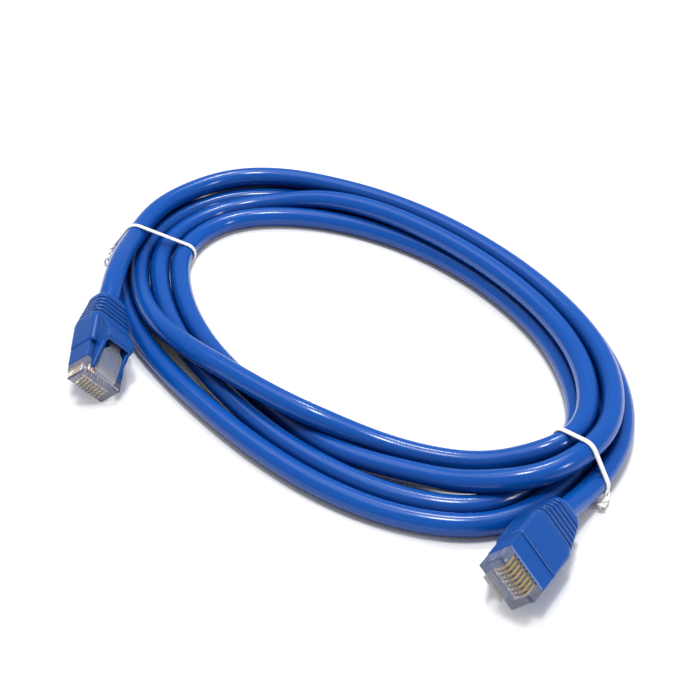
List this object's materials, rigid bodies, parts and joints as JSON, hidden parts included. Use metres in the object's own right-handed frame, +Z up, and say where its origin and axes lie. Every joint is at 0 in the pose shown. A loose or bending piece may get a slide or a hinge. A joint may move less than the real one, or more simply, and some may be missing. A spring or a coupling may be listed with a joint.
{
  "type": "ethernet patch cable",
  "caption": "Blue round network patch cable wound in an oval coil with white twist ties, and a clear latching modular plug with a moulded snagless boot on each end",
  "frame": {"origin": "centre of the bounding box, on the surface that the coil lies on", "axes": "+X along the long axis of the oval coil towards the tie beside plug B, +Y across the coil away from plug A, +Z up"},
  "size_m": [0.1836, 0.1281, 0.0168],
  "materials": {
    "cable_jacket": "smooth extruded PVC, glossy",
    "boot_blue": "moulded soft PVC, satin gloss",
    "clear_plastic": "clear polycarbonate",
    "gold_plate": "gold plated phosphor bronze",
    "load_bar_plastic": "clear polycarbonate insert",
    "tie_white": "white PVC over wire",
    "tie_steel": "drawn steel wire",
    "wire_striped": "white insulation with a colour stripe",
    "wire_orange": "insulation",
    "wire_green": "insulation",
    "wire_blue": "insulation",
    "wire_brown": "insulation",
    "copper": "bare copper"
  },
  "bodies": {
    "cable": {"cable_coil": "cable_jacket", "cable_lead_a": "cable_jacket", "cable_lead_b": "cable_jacket", "twist_tie_left": "tie_white", "tie_wire_left": "tie_steel", "twist_tie_right": "tie_white", "tie_wire_right": "tie_steel", "plug_a_housing": "clear_plastic", "plug_a_contacts": "gold_plate", "plug_a_load_bar": "load_bar_plastic", "plug_a_boot": "boot_blue", "plug_a_jacket_end": "cable_jacket", "plug_a_wires_striped": "wire_striped", "plug_a_wire_orange": "wire_orange", "plug_a_wire_green": "wire_green", "plug_a_wire_blue": "wire_blue", "plug_a_wire_brown": "wire_brown", "plug_a_wire_cores": "copper", "plug_b_housing": "clear_plastic", "plug_b_contacts": "gold_plate", "plug_b_load_bar": "load_bar_plastic", "plug_b_boot": "boot_blue", "plug_b_jacket_end": "cable_jacket", "plug_b_wires_striped": "wire_striped", "plug_b_wire_orange": "wire_orange", "plug_b_wire_green": "wire_green", "plug_b_wire_blue": "wire_blue", "plug_b_wire_brown": "wire_brown", "plug_b_wire_cores": "copper"},
    "latch_a": {"plug_a_latch": "clear_plastic"},
    "latch_b": {"plug_b_latch": "clear_plastic"}
  },
  "joints": [
    {"name": "plug_a_latch_press", "type": "hinge", "parent": "cable", "child": "latch_a", "pos_m": [-0.02533, -0.05654, 0.00913], "axis": [0.2909, 0.5596, -0.776], "range_deg": [-10, 0], "stiffness_Nm_per_rad": 0.1},
    {"name": "plug_b_latch_press", "type": "hinge", "parent": "cable", "child": "latch_b", "pos_m": [0.0829, -0.03074, 0.00695], "axis": [-0.7176, -0.1582, 0.6783], "range_deg": [-10, 0], "stiffness_Nm_per_rad": 0.1}
  ]
}
